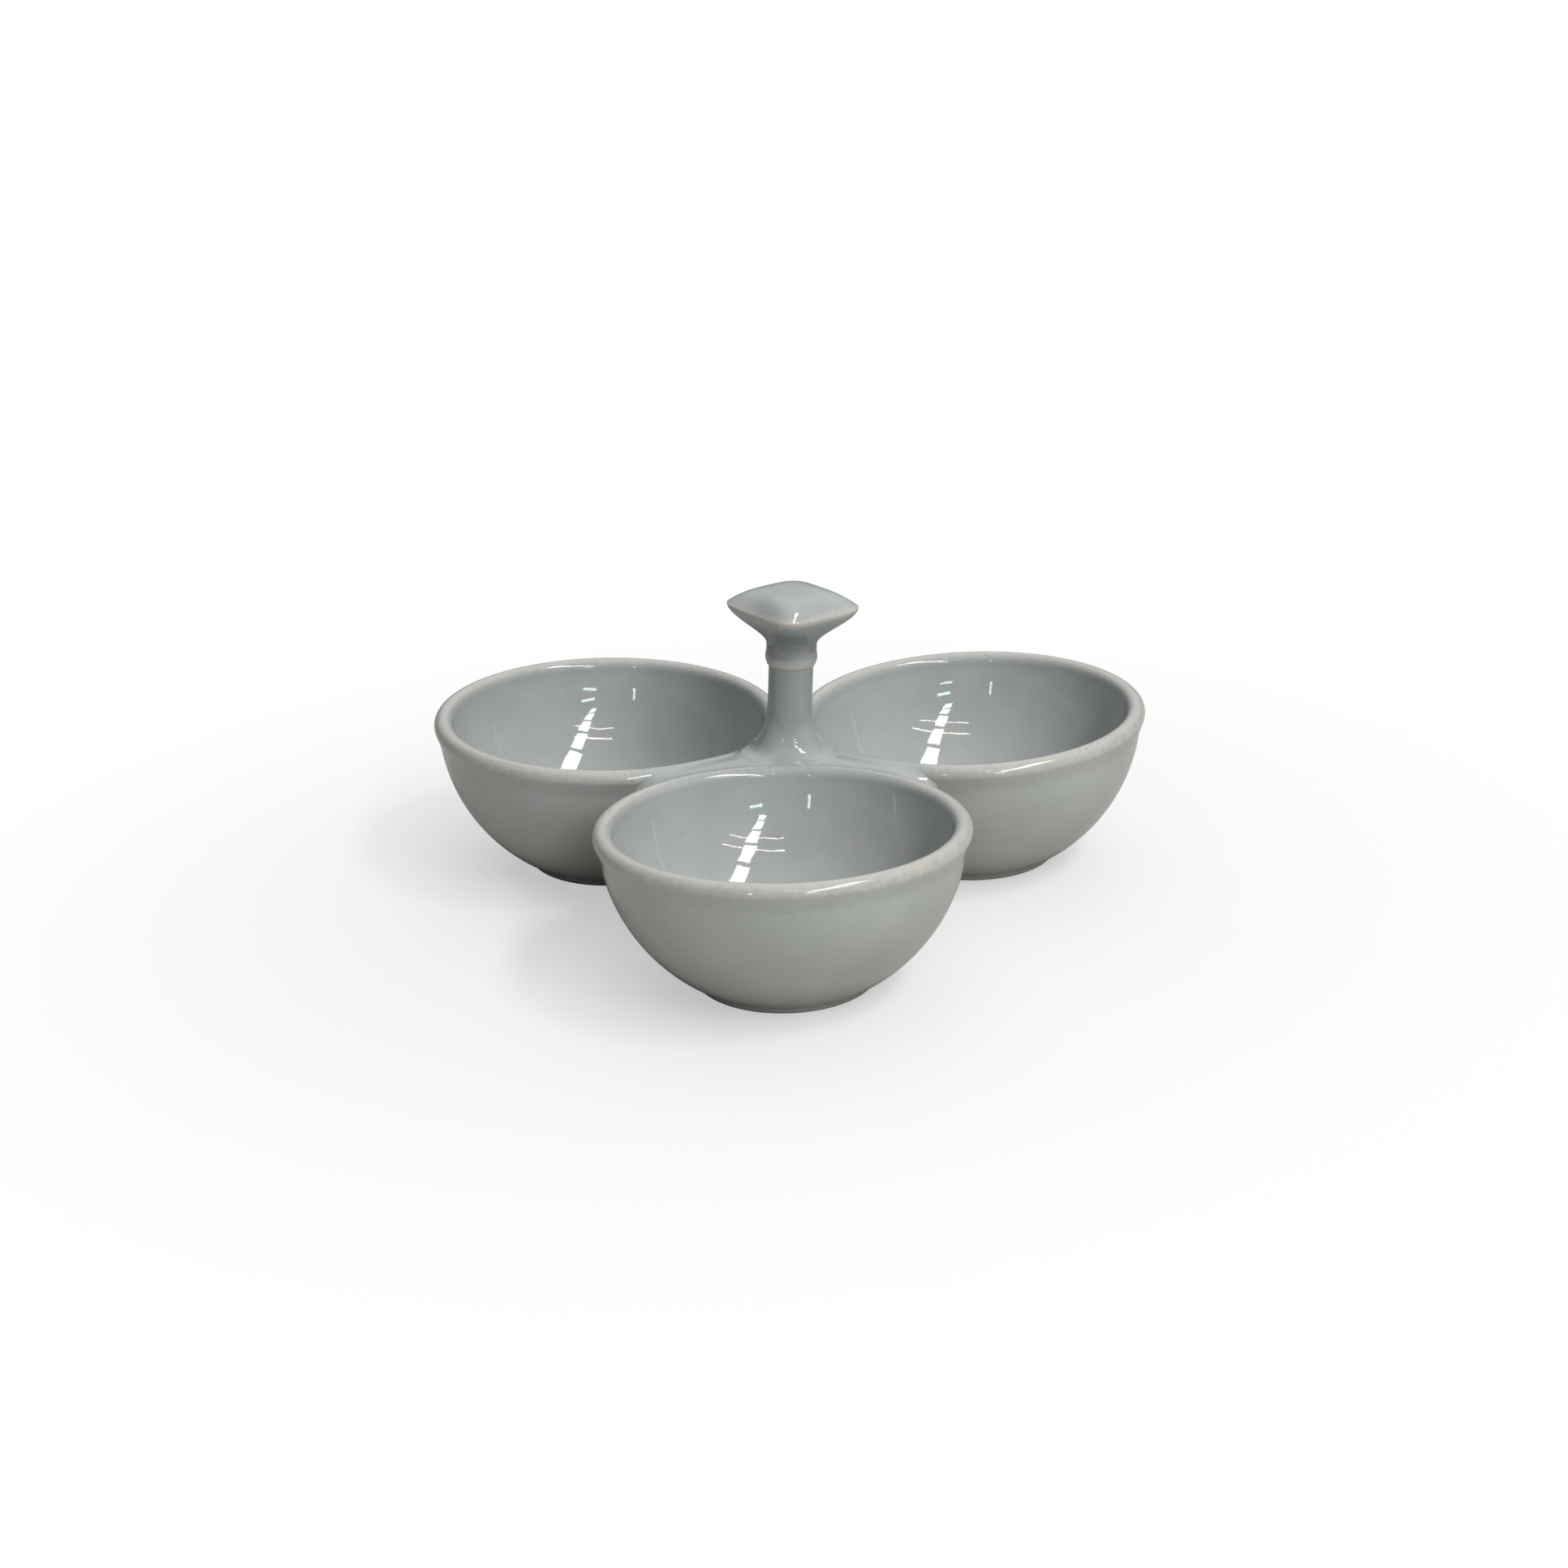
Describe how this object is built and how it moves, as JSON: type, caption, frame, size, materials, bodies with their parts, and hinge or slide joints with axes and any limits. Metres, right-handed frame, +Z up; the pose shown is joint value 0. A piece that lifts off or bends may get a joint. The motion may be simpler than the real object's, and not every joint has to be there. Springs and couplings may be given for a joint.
{
  "type": "divided serving bowl",
  "caption": "Glazed stoneware dip bowls in a trefoil, joined at their rims by a saddle with webs, and lifted by a central stem with a square cushion knob.",
  "frame": {"origin": "table level, under the middle of the outline seen from above; the handle's stem stands 18 mm behind it, towards +Y", "axes": "+Z up, -Y towards the front bowl, +X to the right as the front bowl is faced"},
  "size_m": [0.245, 0.2283, 0.1089],
  "materials": {
    "bowl_glaze": "gloss",
    "saddle_glaze": "gloss",
    "handle_glaze": "gloss",
    "foot_clay": "matte"
  },
  "bodies": {
    "root": {"front_bowl": "bowl_glaze", "right_bowl": "bowl_glaze", "left_bowl": "bowl_glaze", "front_foot_ring": "foot_clay", "right_foot_ring": "foot_clay", "left_foot_ring": "foot_clay", "centre_saddle": "saddle_glaze", "right_web": "saddle_glaze", "back_web": "saddle_glaze", "left_web": "saddle_glaze", "handle_stem": "handle_glaze", "stem_collar": "handle_glaze", "handle_knob": "handle_glaze"}
  },
  "joints": []
}
